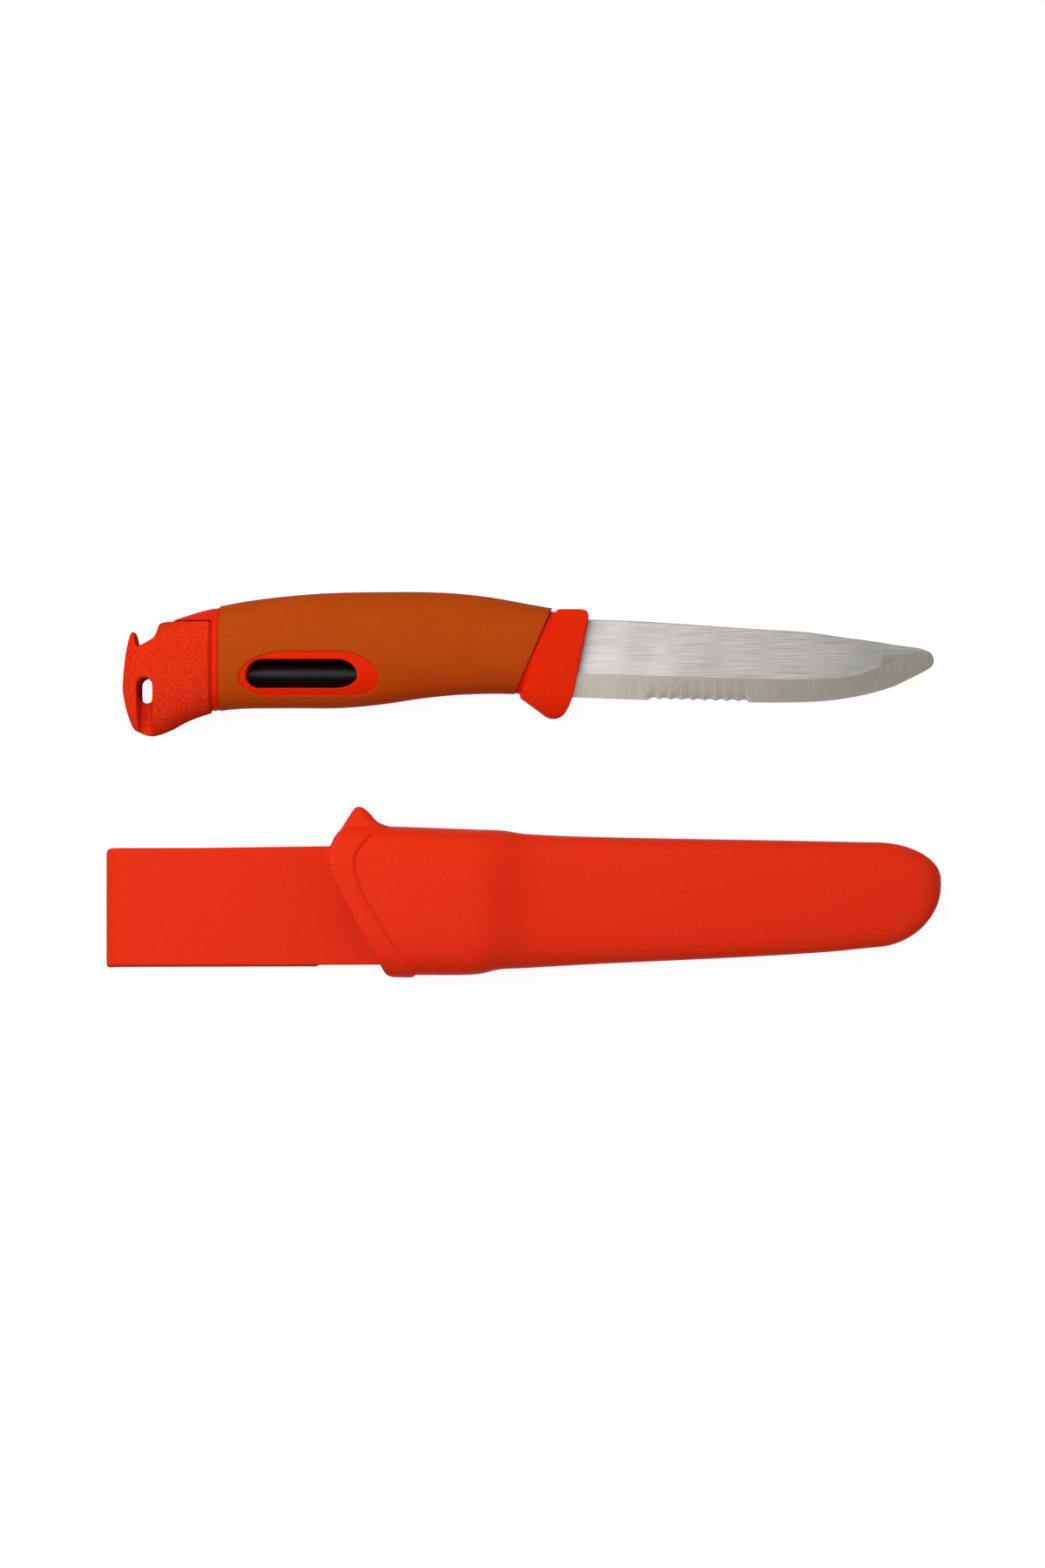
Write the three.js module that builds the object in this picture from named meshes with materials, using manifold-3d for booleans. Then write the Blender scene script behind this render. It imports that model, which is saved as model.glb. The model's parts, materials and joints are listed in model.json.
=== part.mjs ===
import * as THREE from 'three';
import { mergeVertices } from 'three/addons/utils/BufferGeometryUtils.js';
import Module from 'manifold-3d';

// A rigging knife with a fire starter in its butt, and the moulded belt sheath that it is drawn from.
// Millimetres, +Z up, blade towards +X. Both lie as on a bench, the sheath on the heel of its belt clip.

// Fits
const seatGap = 0.3;
const overrun = 6;

// Knife: along from the butt, up from the axis of the fire steel, out from the middle plane
const handleLength = 134;
const spineRise = 23.6;
const buttDrop = 18.6;
const gripThickness = 23;
const gripPower = 2.5;
const gripWall = 2.6;
const neckWidth = 1.6;
const neckDepth = 1.3;

// Guard
const guardDepth = 19.5;
const guardHeight = 31.1;
const guardDrop = 12.8;
const guardBevel = 1.8;

// Fire steel, its cap and the socket in the butt of the handle
const rodRadius = 4.2;
const rodBack = 11.5;
const rodFront = 80.5;
const rodChamfer = 0.6;
const boreEnd = 2;
const capLength = 25.7;
const capRise = 15;
const capDrop = 18;
const capGap = 0.7;
const gapDepth = 0.8;
const ringLength = 1.9;
const spigotRadius = 6.2;
const spigotLength = 5;
const slotBack = 5.1;
const slotFront = 9.6;
const slotTop = -1.5;
const slotBottom = -8.9;
const grooveSpread = 0.45;
const grooveFloor = 2.7;
const grooveWeb = 4.8;
const grooveRim = 6;

// Window over the fire steel, and the smooth surround that frames it
const windowBack = 36.3;
const windowFront = 68;
const windowTop = 4.1;
const windowBottom = -4.1;
const windowWaist = -0.6;
const frameBack = 34.2;
const frameFront = 74;
const frameTop = 6.3;
const frameBottom = -6.2;
const frameWaist = -1.5;

// Blade
const bladeTip = 233.2;
const bladeThickness = 2.5;
const bladeHeight = 24;
const bladeDrop = 8.1;
const edgeThickness = 0.12;
const fluteRise = 2.2;
const bladeRoot = 125;
const tangBack = 85;
const tangRise = 11.4;
const tangDrop = 1.5;
const scallopStart = 151.1;
const scallopPitch = 3.24;
const scallopDepth = 0.8;
const scallopCount = 9;

// Sheath: along from the fold of the clip, up from the middle of the back plate, out from its back
const sheathLength = 239.9;
const pocketRise = 23.8;
const pocketDrop = 19;
const pocketDepth = 28.6;
const pocketPower = 3.4;
const wall = 2.2;
const tipRound = 18.2;
const tipHeight = 7.5;
const tipPower = 6;
const drainBack = 16;
const drainLength = 7;
const drainWidth = 4;

// Collar round the mouth, with the horn that the thumb pushes on
const mouthStart = 64;
const collarSlant = 24.5;
const collarHeight = 48.3;
const collarDrop = 19.2;
const collarProud = 1;
const hornThickness = 16;
const hornRound = 4;

// Back plate and belt clip
const beltGap = 5.6;
const plateTop = 16.9;
const plateBottom = -16.6;
const plateFlare = 0.7;
const plateEnd = 106;
const platePlain = 7.7;
const foldCorner = 1.6;
const armTop = 17;
const armBottom = -17.4;
const armEnd = 62.7;
const armCorner = 3;
const ridgeHeight = 0.9;
const ridgeLength = 5;

// How the knife and the sheath lie beside each other
const knifeAhead = 4.5;
const knifeAside = 67.1;

const gripSides = 28;
const coreSides = 20;
const roundSides = 24;
const gripStep = 3.8;
const coreStep = 8;
const curveSteps = 5;
const cornerSteps = 3;

const colours = {
  steel: 0xaeaaa5,
  rod: 0x17171a,
  red: 0xe63216,
  orange: 0xbb4a0e,
};

// Shapes of the handle seen from the side: places as shares of handleLength, heights as shares of
// spineRise above the axis and of buttDrop below it, half thicknesses as shares of half gripThickness
const backLineShares = [
  [-0.02, 0.43], [0.03, 0.535], [0.1, 0.645], [0.18, 0.785], [0.29, 0.905], [0.425, 0.98],
  [0.56, 1], [0.69, 0.992], [0.785, 0.94], [0.875, 0.85], [0.94, 0.79], [1.02, 0.76],
];
const undersideShares = [
  [-0.02, 1], [0.06, 1], [0.09, 0.935], [0.112, 0.848], [0.14, 0.738], [0.18, 0.63], [0.235, 0.545],
  [0.35, 0.525], [0.47, 0.522], [0.56, 0.464], [0.65, 0.368], [0.74, 0.312], [0.84, 0.308], [1.02, 0.41],
];
const flankShares = [
  [-0.02, 0.4], [0, 0.55], [0.03, 0.76], [0.1, 0.86], [0.2, 0.92], [0.33, 0.98], [0.45, 1],
  [0.58, 0.985], [0.7, 0.915], [0.8, 0.88], [0.88, 0.89], [0.96, 0.95], [1.02, 0.98],
];

// Guard outline from its rear top corner, clockwise, as shares of guardDepth and guardHeight
const guardTopShares = [[0.526, 0.985], [0.58, 1], [0.905, 1]];
const guardCornerShares = [[0.905, 1], [0.975, 0.98], [1, 0.93]];
const guardHornShares = [
  [0.772, 0.213], [0.712, 0.115], [0.65, 0.048], [0.574, 0.012], [0.477, 0], [0.379, 0.019], [0.256, 0.076],
];
const guardHeelShares = [-0.012, 0.2];

// Cap outline from the tongue round the hook and the butt, as shares of capLength and of its height
const capHookShares = [
  [0.51, 1], [0.475, 0.997], [0.448, 0.968], [0.415, 0.882], [0.376, 0.845], [0.3, 0.815], [0.226, 0.79],
];
const capProngShares = [
  [0.204, 0.795], [0.182, 0.84], [0.168, 0.872], [0.145, 0.884], [0.12, 0.873], [0.105, 0.85],
];
const capButtShares = [
  [0.105, 0.85], [0.066, 0.704], [0.041, 0.503], [0.038, 0.39], [0.076, 0.24], [0.134, 0.1], [0.173, 0.052],
];
const capHeelShares = [[0.258, 0.018], [0.335, 0.006], [0.44, 0.024], [0.55, 0.058]];

// Corner lengths of the window and its surround, as shares of the opening's length:
// back top, front top, front bottom, back bottom
const windowCornerShares = [0.15, 0.19, 0.2, 0.12];
const frameCornerShares = [0.36, 0.3, 0.16, 0.22];

// Blade seen from the side, as shares of bladeTip and of bladeHeight above the lowest edge
const bladeBackShares = [
  [0.53, 1], [0.58, 0.99], [0.64, 0.968], [0.772, 0.883], [0.823, 0.854], [0.849, 0.833],
  [0.888, 0.779], [0.926, 0.729], [0.952, 0.6875], [0.978, 0.654], [0.984, 0.64],
];
const bladeEdgeShares = [
  [0.53, 0.065], [0.56, 0.06], [0.65, 0.029], [0.78, 0], [0.85, 0.008], [0.885, 0.04],
  [0.92, 0.104], [0.95, 0.19], [0.965, 0.258], [0.978, 0.321], [0.984, 0.35],
];
const bevelLineShares = [
  [0.53, 0.335], [0.56, 0.332], [0.78, 0.262], [0.85, 0.26], [0.9, 0.297], [0.935, 0.42],
  [0.965, 0.55], [0.984, 0.6],
];
const tipShares = [[0.989, 0.628, 0.375], [0.9935, 0.607, 0.4], [0.9975, 0.58, 0.43], [1, 0.535, 0.45]];

// Pocket seen from the front and from the side, as shares of sheathLength and of its height or depth
const pocketTopShares = [
  [0.24, 1], [0.34, 0.983], [0.445, 0.945], [0.472, 0.934], [0.5, 0.892], [0.59, 0.853],
  [0.8, 0.811], [0.93, 0.785], [1, 0.775],
];
const pocketBottomShares = [
  [0.24, 1], [0.37, 0.992], [0.44, 0.985], [0.468, 0.915], [0.496, 0.9], [0.59, 0.84],
  [0.755, 0.75], [0.86, 0.675], [0.93, 0.595], [1, 0.55],
];
const pocketFrontShares = [
  [0.24, 1], [0.46, 1], [0.472, 0.975], [0.49, 0.81], [0.505, 0.763], [0.56, 0.75], [1, 0.674],
];
const pocketBackShares = [[0.24, 0], [0.45, 0], [0.51, 0.07], [1, 0.11]];

// Collar: outer edge from the horn down, and the crease where it meets the pocket, as shares of
// collarSlant from mouthStart and of collarHeight from the foot of the collar
const collarEdgeShares = [
  [0.33, 1], [0.285, 0.988], [0.205, 0.929], [0.13, 0.868], [0.048, 0.803], [0.006, 0.717], [0.004, 0.651],
  [0.095, 0.55], [0.24, 0.408], [0.435, 0.226], [0.585, 0.089], [0.655, 0.023], [0.732, 0],
];
const collarFootShares = [[0.732, 0], [0.92, 0], [0.975, 0.03]];
const collarCreaseShares = [
  [0.965, 0.035], [0.8, 0.13], [0.653, 0.241], [0.5, 0.367], [0.357, 0.494], [0.276, 0.617],
  [0.265, 0.701], [0.347, 0.777], [0.48, 0.843], [0.653, 0.884],
];
const hornFrontShares = [[0.653, 0.889], [0.551, 0.911], [0.459, 0.962], [0.385, 0.993], [0.33, 1]];

const wasm = await Module();
wasm.setup();

// A closed geometry as a solid for cutting and joining
function solidOf(geometry) {
  geometry.deleteAttribute('normal');
  geometry.deleteAttribute('uv');
  const merged = mergeVertices(geometry);
  return new wasm.Manifold(new wasm.Mesh({
    numProp: 3,
    vertProperties: merged.attributes.position.array,
    triVerts: Uint32Array.from(merged.index.array),
  }));
}

function pieceOf(name, solid, material) {
  const { vertProperties, triVerts } = solid.getMesh();
  const geometry = new THREE.BufferGeometry();
  geometry.setAttribute('position', new THREE.BufferAttribute(vertProperties, 3));
  geometry.setIndex(new THREE.BufferAttribute(triVerts, 1));
  geometry.computeVertexNormals();
  const piece = new THREE.Mesh(geometry, material);
  piece.name = name;
  return piece;
}

// A smooth height along a line of [share of length, share of height] points
function lineThrough(shares, length, height) {
  const points = shares.map(([along, up]) => [along * length, up * height]);
  const slopes = points.map((_, i) => {
    const before = points[Math.max(i - 1, 0)];
    const after = points[Math.min(i + 1, points.length - 1)];
    return (after[1] - before[1]) / (after[0] - before[0]);
  });
  return (along) => {
    const next = points.findIndex(([place]) => place >= along);
    const i = Math.max(next < 0 ? points.length - 1 : next, 1);
    const [start, end] = [points[i - 1], points[i]];
    const span = end[0] - start[0];
    const t = THREE.MathUtils.clamp((along - start[0]) / span, 0, 1);
    const late = t * t * (3 - 2 * t);
    const leave = t * (1 - t) * (1 - t) * slopes[i - 1] * span;
    const arrive = t * t * (t - 1) * slopes[i] * span;
    return start[1] * (1 - late) + end[1] * late + leave + arrive;
  };
}

// Points of a smooth curve through shares of a width and a height, measured from a corner
function curveThrough(shares, width, height, left, bottom) {
  const points = shares.map(([across, up]) => new THREE.Vector2(left + across * width, bottom + up * height));
  return new THREE.SplineCurve(points).getPoints(curveSteps * (points.length - 1));
}

// Plain corners of an outline, given in the same way
function cornersAt(shares, width, height, left, bottom) {
  return shares.map(([across, up]) => new THREE.Vector2(left + across * width, bottom + up * height));
}

function stationsBetween(start, end, step) {
  const count = Math.max(Math.ceil((end - start) / step), 1);
  return Array.from({ length: count + 1 }, (_, i) => start + ((end - start) * i) / count);
}

// A rounded section across the length, from +Z over +Y round to -Z
function ovalRing(along, top, bottom, front, back, power, sides) {
  const round = (value) => Math.sign(value) * Math.abs(value) ** (2 / power);
  return Array.from({ length: sides }, (_, k) => {
    const turn = (2 * Math.PI * k) / sides;
    const y = (top + bottom) / 2 + ((top - bottom) / 2) * round(Math.sin(turn));
    const z = (front + back) / 2 + ((front - back) / 2) * round(Math.cos(turn));
    return new THREE.Vector3(along, y, z);
  });
}

// Skin over sections that follow each other along +X, closed at both ends
function loft(rings) {
  const sides = rings[0].length;
  const ends = [rings[0], rings[rings.length - 1]].map((ring) => {
    const middle = new THREE.Vector3();
    ring.forEach((point) => middle.addScaledVector(point, 1 / sides));
    return middle;
  });
  const points = [...rings.flat(), ...ends];
  const index = [];
  const lastRing = (rings.length - 1) * sides;
  for (let k = 0; k < sides; k += 1) {
    const next = (k + 1) % sides;
    for (let base = 0; base < lastRing; base += sides) {
      const above = base + sides;
      index.push(base + k, above + k, above + next);
      index.push(base + k, above + next, base + next);
    }
    index.push(points.length - 2, k, next);
    index.push(points.length - 1, lastRing + next, lastRing + k);
  }
  const geometry = new THREE.BufferGeometry().setFromPoints(points);
  geometry.setIndex(index);
  return solidOf(geometry);
}

function extruded(outline, depth) {
  return new THREE.ExtrudeGeometry(new THREE.Shape(outline), { depth, bevelEnabled: false });
}

// An outline in the plane of the blade, pushed through from low to high
function slab(outline, low, high) {
  return solidOf(extruded(outline, high - low).translate(0, 0, low));
}

// The same with rounded rims: layers that shrink towards the middle of the outline near both faces
function roundedSlab(outline, low, high, rim) {
  const bounds = new THREE.Box2().setFromPoints(outline);
  const middle = bounds.getCenter(new THREE.Vector2());
  const size = bounds.getSize(new THREE.Vector2());
  const clockwise = THREE.ShapeUtils.isClockWise(outline) ? outline : [...outline].reverse();
  const layer = (turn, depth) => {
    const inset = 2 * rim * (1 - Math.cos(turn));
    const shrink = new THREE.Vector2(1 - inset / size.x, 1 - inset / size.y);
    return clockwise.map((point) => {
      const moved = point.clone().sub(middle).multiply(shrink).add(middle);
      return new THREE.Vector3(moved.x, moved.y, depth + rim * Math.sin(turn));
    });
  };
  const turns = stationsBetween(0, Math.PI / 2, Math.PI / 6);
  const lower = turns.map((turn) => layer(-turn, low + rim)).reverse();
  const upper = turns.map((turn) => layer(turn, high - rim));
  return loft([...lower, ...upper]);
}

// A profile of lengths and depths, pushed along Y from low to high
function strip(profile, low, high) {
  const geometry = extruded(profile, high - low);
  geometry.rotateX(Math.PI / 2);
  return solidOf(geometry.translate(0, high, 0));
}

// A profile of heights and depths, pushed along X from start to end
function channel(profile, start, end) {
  const geometry = extruded(profile, end - start);
  geometry.rotateY(Math.PI / 2);
  geometry.rotateX(Math.PI / 2);
  return solidOf(geometry.translate(start, 0, 0));
}

// A round bar on the axis of the fire steel, with a chamfer at both ends
function bar(radius, start, end, chamfer) {
  const profile = [
    [0, start], [radius - chamfer, start], [radius, start + chamfer],
    [radius, end - chamfer], [radius - chamfer, end], [0, end],
  ];
  const points = profile.map(([out, along]) => new THREE.Vector2(out, along));
  return solidOf(new THREE.LatheGeometry(points, roundSides).rotateZ(-Math.PI / 2));
}

function box(left, right, bottom, top, low, high) {
  const geometry = new THREE.BoxGeometry(right - left, top - bottom, high - low);
  return solidOf(geometry.translate((left + right) / 2, (bottom + top) / 2, (low + high) / 2));
}

// An oval opening of four elliptical quarters and the straights between them
function windowOutline(back, front, top, bottom, waist, cornerShares) {
  const [backTop, frontTop, frontBottom, backBottom] = cornerShares.map((share) => share * (front - back));
  const path = new THREE.Path();
  path.absellipse(back + backTop, waist, backTop, top - waist, Math.PI, Math.PI / 2, true);
  path.absellipse(front - frontTop, waist, frontTop, top - waist, Math.PI / 2, 0, true);
  path.absellipse(front - frontBottom, waist, frontBottom, waist - bottom, 0, -Math.PI / 2, true);
  path.absellipse(back + backBottom, waist, backBottom, waist - bottom, -Math.PI / 2, -Math.PI, true);
  return path.getPoints(2 * curveSteps).slice(1);
}

// Handle surface that the cap, the core and the grip all share
const backLine = lineThrough(backLineShares, handleLength, spineRise);
const underside = lineThrough(undersideShares, handleLength, -buttDrop);
const flank = lineThrough(flankShares, handleLength, gripThickness / 2);

function handleLoft(start, end, inset, step, sides) {
  const rings = stationsBetween(start, end, step).map((along) => {
    const half = flank(along) - inset;
    return ovalRing(along, backLine(along) - inset, underside(along) + inset, half, -half, gripPower, sides);
  });
  return loft(rings);
}

// The ring between cap and grip, and the cap's shoulder that closes the gap between them
const ringStart = capLength + capGap;
const shoulderEnd = ringStart - seatGap;
const ringEnd = ringStart + ringLength;
const gripStart = ringEnd + seatGap;

// The slanted line where the grip ends and the neck and the guard begin
const guardBack = handleLength - guardDepth;
const [crestTop, crestHeel] = [guardTopShares[0], guardHeelShares];
const crestLean = ((crestTop[0] - crestHeel[0]) * guardDepth) / ((crestTop[1] - crestHeel[1]) * guardHeight);

function crestAt(height) {
  return guardBack + crestTop[0] * guardDepth + (height + guardDrop - crestTop[1] * guardHeight) * crestLean;
}

// Everything behind that line moved back by an offset, from the butt to the line
function behindCrest(start, offset) {
  const [top, bottom] = [spineRise + overrun, -buttDrop - overrun];
  const outline = [
    new THREE.Vector2(start, bottom), new THREE.Vector2(crestAt(bottom) - offset, bottom),
    new THREE.Vector2(crestAt(top) - offset, top), new THREE.Vector2(start, top),
  ];
  return slab(outline, -gripThickness, gripThickness);
}

const windowHole = windowOutline(
  windowBack, windowFront, windowTop, windowBottom, windowWaist, windowCornerShares,
);

function surroundOutline(gap) {
  return windowOutline(
    frameBack - gap, frameFront + gap, frameTop + gap, frameBottom - gap, frameWaist, frameCornerShares,
  );
}

// Blade
const bladeBack = lineThrough(bladeBackShares, bladeTip, bladeHeight);
const bladeEdge = lineThrough(bladeEdgeShares, bladeTip, bladeHeight);
const bevelLine = lineThrough(bevelLineShares, bladeTip, bladeHeight);

// Section of the blade: flat down to the bevel line, then ground to the edge, which a scallop raises
function bladeRing(along, top, edge, bevelTop, scallop) {
  const half = bladeThickness / 2;
  const edgeHalf = edgeThickness / 2;
  const spineHalf = Math.min(half, half * ((top - edge) / (bevelTop - edge)));
  const bevel = Math.min(bevelTop, top - edgeThickness);
  const flute = Math.min(edge + fluteRise, (edge + bevel) / 2);
  const slope = (spineHalf - edgeHalf) / (bevel - edge);
  const fluteHalf = edgeHalf + slope * (flute - edge);
  const side = [[edge + scallop, edgeHalf], [flute, fluteHalf], [bevel, spineHalf], [top, spineHalf]];
  const otherSide = side.map(([height, out]) => [height, -out]).reverse();
  return [...side, ...otherSide].map(([height, out]) => new THREE.Vector3(along, height - bladeDrop, out));
}

function scallopAt(along) {
  const place = (along - scallopStart) / scallopPitch;
  const inRow = place > 0 && place < scallopCount;
  return inRow ? scallopDepth * Math.sqrt(Math.abs(Math.sin(Math.PI * place))) : 0;
}

function makeBlade() {
  const scallopEnd = scallopStart + scallopPitch * scallopCount;
  const plainEnd = bladeBackShares[bladeBackShares.length - 1][0] * bladeTip;
  const stations = [
    ...stationsBetween(bladeRoot, scallopStart, coreStep),
    ...stationsBetween(scallopStart, scallopEnd, scallopPitch / 6).slice(1, -1),
    ...stationsBetween(scallopEnd, plainEnd, gripStep),
  ];
  const rings = stations.map((along) => (
    bladeRing(along, bladeBack(along), bladeEdge(along), bevelLine(along), scallopAt(along))
  ));
  tipShares.forEach(([along, top, edge]) => {
    rings.push(bladeRing(along * bladeTip, top * bladeHeight, edge * bladeHeight, bevelLine(plainEnd), 0));
  });
  const half = bladeThickness / 2;
  return loft(rings).add(box(tangBack, bladeRoot + seatGap, -tangDrop, tangRise, -half, half));
}

// Fire steel and its cap
function makeRod() {
  return bar(rodRadius, rodBack, rodFront, rodChamfer);
}

function capOutline() {
  const height = capRise + capDrop;
  const curve = (shares) => curveThrough(shares, capLength, height, 0, -capDrop);
  return [
    new THREE.Vector2(shoulderEnd, capRise), ...curve(capHookShares), ...curve(capProngShares),
    ...curve(capButtShares).slice(1), ...curve(capHeelShares),
    new THREE.Vector2(shoulderEnd, -capDrop - overrun),
  ];
}

// The slot's outline run on below the butt, widened by a spread, at a depth from the middle plane
const slotRound = (slotFront - slotBack) / 2;
const slotMiddle = slotBack + slotRound;

function grooveLayer(spread, depth) {
  const path = new THREE.Path();
  path.absarc(slotMiddle, slotTop - slotRound, slotRound + spread, Math.PI, 0, true);
  path.lineTo(slotMiddle + slotRound + spread, -capDrop - overrun);
  path.lineTo(slotMiddle - slotRound - spread, -capDrop - overrun);
  return path.getPoints(curveSteps).map((point) => new THREE.Vector3(point.x, point.y, depth));
}

// Grooves for the lanyard on both sides: drafted walls, and a floor that curves out to the foot of the butt
function makeGrooves() {
  const narrow = grooveFloor / 2 - slotRound;
  const [outside, inside] = [gripThickness / 2, grooveWeb / 2];
  const lower = loft([grooveLayer(grooveSpread, -outside), grooveLayer(narrow, -inside)]);
  const upper = loft([grooveLayer(narrow, inside), grooveLayer(grooveSpread, outside)]);
  const floor = new THREE.Path();
  floor.moveTo(0, inside);
  floor.absellipse(
    slotBottom, grooveRim, capDrop + slotBottom, grooveRim - inside, -Math.PI / 2, -Math.PI, true,
  );
  floor.lineTo(-capDrop, gripThickness);
  floor.lineTo(0, gripThickness);
  const profile = floor.getPoints(curveSteps);
  const under = profile.map((point) => new THREE.Vector2(point.x, -point.y));
  const [start, end] = [slotBack - overrun, slotFront + overrun];
  return upper.intersect(channel(profile, start, end)).add(lower.intersect(channel(under, start, end)));
}

function makeCap() {
  const body = handleLoft(-overrun / 2, capLength, 0, gripStep, gripSides)
    .add(handleLoft(capLength - capGap, ringStart, gapDepth, gripStep, gripSides))
    .intersect(slab(capOutline(), -gripThickness, gripThickness));
  const spigotEnd = capLength + spigotLength;
  const slot = new THREE.Path();
  slot.absarc(slotMiddle, slotTop - slotRound, slotRound, 0, Math.PI);
  slot.absarc(slotMiddle, slotBottom + slotRound, slotRound, Math.PI, 2 * Math.PI);
  return body
    .add(bar(spigotRadius, rodBack, spigotEnd, rodChamfer))
    .subtract(bar(rodRadius + seatGap, rodBack - seatGap, spigotEnd + overrun, 0))
    .subtract(slab(slot.getPoints(curveSteps), -gripThickness, gripThickness))
    .subtract(makeGrooves());
}

// Handle core: body, ring, tongue, window surround, neck and guard in one moulding
function guardOutline() {
  const at = (shares) => cornersAt(shares, guardDepth, guardHeight, guardBack, -guardDrop);
  const curve = (shares) => curveThrough(shares, guardDepth, guardHeight, guardBack, -guardDrop);
  const front = [...curve(guardCornerShares).slice(1), ...curve(guardHornShares)];
  return [...at(guardTopShares), ...front, ...at([guardHeelShares])];
}

function makeCore() {
  const bodyEnd = handleLength - guardDepth / 4;
  const ring = handleLoft(ringStart, ringEnd, 0, gripStep, gripSides);
  const tongueFloor = capRise + seatGap;
  const tongue = handleLoft(0, ringStart + seatGap, 0, gripStep, gripSides)
    .intersect(box(0, ringEnd, tongueFloor, spineRise, -gripThickness, gripThickness));
  const body = handleLoft(ringEnd - seatGap, bodyEnd, gripWall, coreStep, coreSides);
  const neck = handleLoft(guardBack - guardDepth / 2, handleLength, neckDepth, gripStep, gripSides)
    .intersect(behindCrest(guardBack - guardDepth / 2, -neckWidth))
    .subtract(behindCrest(0, neckWidth));
  const frame = handleLoft(frameBack - seatGap, frameFront + seatGap, 0, gripStep, gripSides)
    .intersect(slab(surroundOutline(0), -gripThickness, gripThickness));
  const guardHalf = gripThickness / 2;
  const guardRing = (along) => ovalRing(
    along, spineRise, -guardDrop - guardBevel, guardHalf, -guardHalf, pocketPower, gripSides,
  );
  const guardSide = guardHalf + guardBevel / 2;
  const guard = loft([guardRing(guardBack - seatGap), guardRing(handleLength + seatGap)])
    .intersect(roundedSlab(guardOutline(), -guardSide, guardSide, guardBevel));
  const half = bladeThickness / 2 + seatGap;
  const rootTop = bladeBack(bladeRoot) - bladeDrop + seatGap;
  const rootBottom = bladeEdge(bladeRoot) - bladeDrop - seatGap;
  return body.add(ring).add(tongue).add(frame).add(neck).add(guard)
    .subtract(slab(windowHole, -gripThickness, gripThickness))
    .subtract(bar(spigotRadius + seatGap, 0, capLength + spigotLength + seatGap, 0))
    .subtract(bar(rodRadius + seatGap, 0, rodFront + boreEnd, 0))
    .subtract(box(tangBack - seatGap, bladeRoot, -tangDrop - seatGap, tangRise + seatGap, -half, half))
    .subtract(box(bladeRoot - seatGap, handleLength + overrun, rootBottom, rootTop, -half, half));
}

// Grip: the soft skin over the core
function makeGrip() {
  const depth = gripWall - seatGap;
  const inside = handleLoft(gripStart - overrun, handleLength + overrun, depth, coreStep, coreSides);
  return handleLoft(gripStart, handleLength, 0, gripStep, gripSides)
    .intersect(behindCrest(0, neckWidth + seatGap))
    .subtract(inside)
    .subtract(slab(surroundOutline(seatGap), -gripThickness, gripThickness));
}

// Sheath
const pocketTop = lineThrough(pocketTopShares, sheathLength, pocketRise);
const pocketBottom = lineThrough(pocketBottomShares, sheathLength, -pocketDrop);
const pocketFront = lineThrough(pocketFrontShares, sheathLength, pocketDepth);
const pocketBack = lineThrough(pocketBackShares, sheathLength, pocketDepth);
const tipStart = sheathLength - tipRound;

// One section of the pocket, which closes to a round end over the last stretch
function pocketRing(along, inset, sides) {
  const closing = Math.max(along - tipStart, 0) / (tipRound - inset);
  const narrow = Math.sqrt(Math.max(1 - closing ** 2, 0));
  const thin = Math.sqrt(Math.max(1 - closing ** tipPower, 0));
  const top = tipHeight + (pocketTop(along) - inset - tipHeight) * narrow;
  const bottom = tipHeight + (pocketBottom(along) + inset - tipHeight) * narrow;
  const middle = (pocketFront(along) + pocketBack(along)) / 2;
  const half = ((pocketFront(along) - pocketBack(along)) / 2 - inset) * thin;
  return ovalRing(along, top, bottom, middle + half, middle - half, pocketPower, sides);
}

function pocketLoft(inset, start, end, sides) {
  const stepStart = pocketFrontShares[1][0] * sheathLength;
  const stepEnd = pocketFrontShares[4][0] * sheathLength;
  const stops = [
    ...stationsBetween(start, Math.min(stepStart, end), coreStep),
    ...(end > stepStart ? stationsBetween(stepStart, stepEnd, gripStep / 2).slice(1) : []),
    ...(end > stepEnd ? stationsBetween(stepEnd, tipStart, coreStep + gripStep).slice(1) : []),
  ];
  if (end > tipStart) {
    const rounds = 8;
    const lastTurn = (Math.PI * 4) / 9;
    for (let i = 1; i <= rounds; i += 1) {
      stops.push(tipStart + (tipRound - inset) * Math.sin((lastTurn * i) / rounds));
    }
  }
  return loft(stops.map((along) => pocketRing(along, inset, sides)));
}

function collarCurve(shares) {
  return curveThrough(shares, collarSlant, collarHeight, mouthStart, -collarDrop);
}

function rectangle(start, end, low, high) {
  return [
    new THREE.Vector2(start, low), new THREE.Vector2(end, low),
    new THREE.Vector2(end, high), new THREE.Vector2(start, high),
  ];
}

const foldRadius = beltGap / 2 + wall;

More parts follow.
